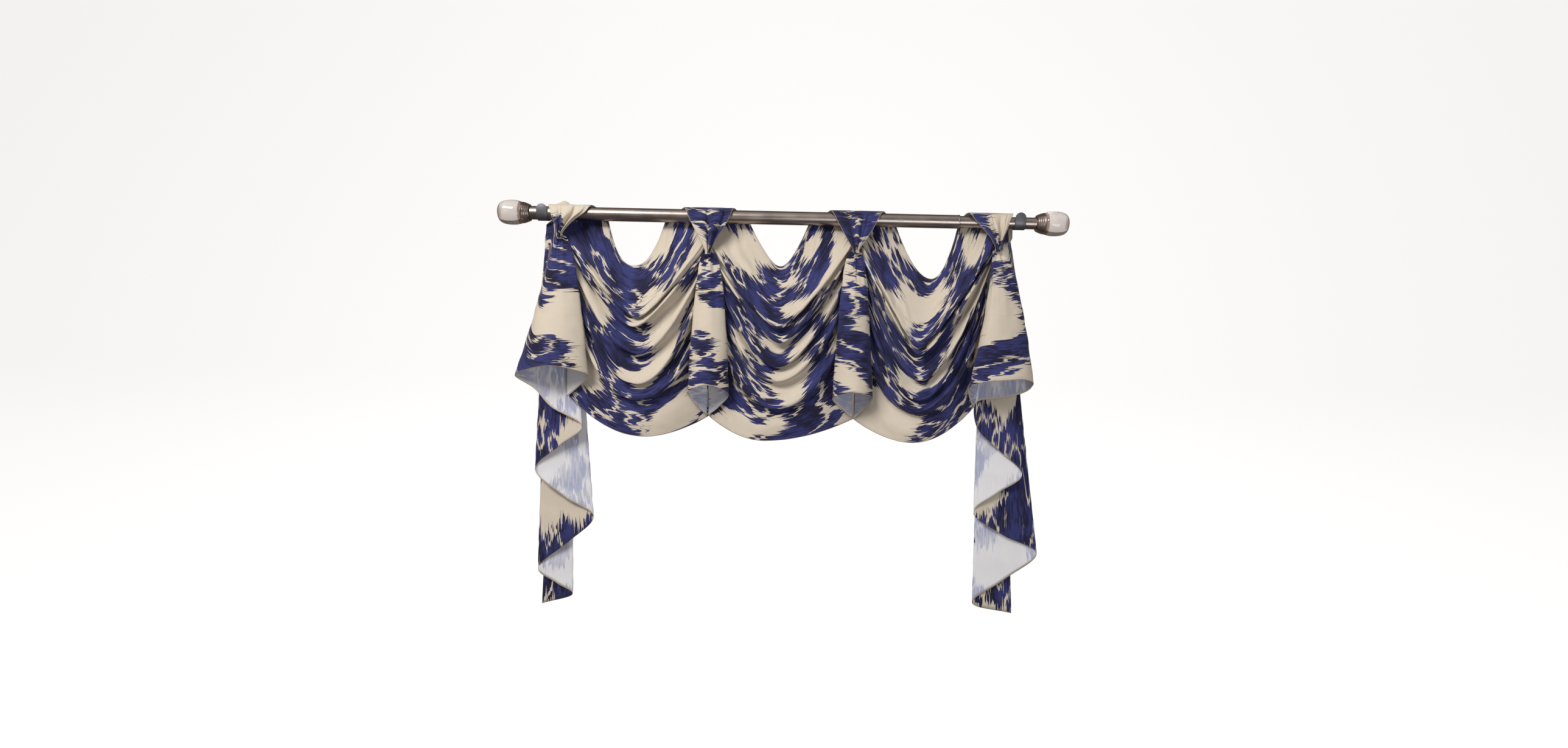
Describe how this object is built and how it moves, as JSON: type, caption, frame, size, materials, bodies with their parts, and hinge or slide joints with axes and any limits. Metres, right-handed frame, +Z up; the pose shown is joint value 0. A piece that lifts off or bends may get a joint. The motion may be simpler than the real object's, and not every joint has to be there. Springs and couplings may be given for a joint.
{
  "type": "swag and tail drape on a curtain rod",
  "caption": "Window valance of draped swags hung by pinched tabs from a rod, with flared horns between them and folded cascade tails at the ends; printed navy and cream cotton.",
  "frame": {"origin": "on the wall plane, at the height of the rod's axis and midway along the rod", "axes": "+X along the rod to the right as seen from the room, +Y into the wall, +Z up"},
  "size_m": [1.0794, 0.1486, 0.781],
  "materials": {
    "printed_cotton": "matt plain weave, printed navy on cream",
    "brushed_nickel": "brushed, satin",
    "clear_glass": "clear, polished",
    "grey_steel": "satin grey paint"
  },
  "bodies": {
    "root": {"swag_left": "printed_cotton", "swag_centre": "printed_cotton", "swag_right": "printed_cotton", "tab_1": "printed_cotton", "tab_2": "printed_cotton", "tab_3": "printed_cotton", "tab_4": "printed_cotton", "horn_centre_left": "printed_cotton", "horn_centre_right": "printed_cotton", "tail_left": "printed_cotton", "tail_right": "printed_cotton", "rod_outer_tube": "brushed_nickel", "rod_inner_tube": "brushed_nickel", "finial_collar_left": "brushed_nickel", "finial_collar_right": "brushed_nickel", "wall_plate_left": "brushed_nickel", "wall_plate_right": "brushed_nickel", "plate_screw_left_upper": "brushed_nickel", "plate_screw_left_lower": "brushed_nickel", "plate_screw_right_upper": "brushed_nickel", "plate_screw_right_lower": "brushed_nickel", "finial_glass_left": "clear_glass", "finial_glass_right": "clear_glass", "cradle_left": "grey_steel", "cradle_right": "grey_steel"}
  },
  "joints": []
}
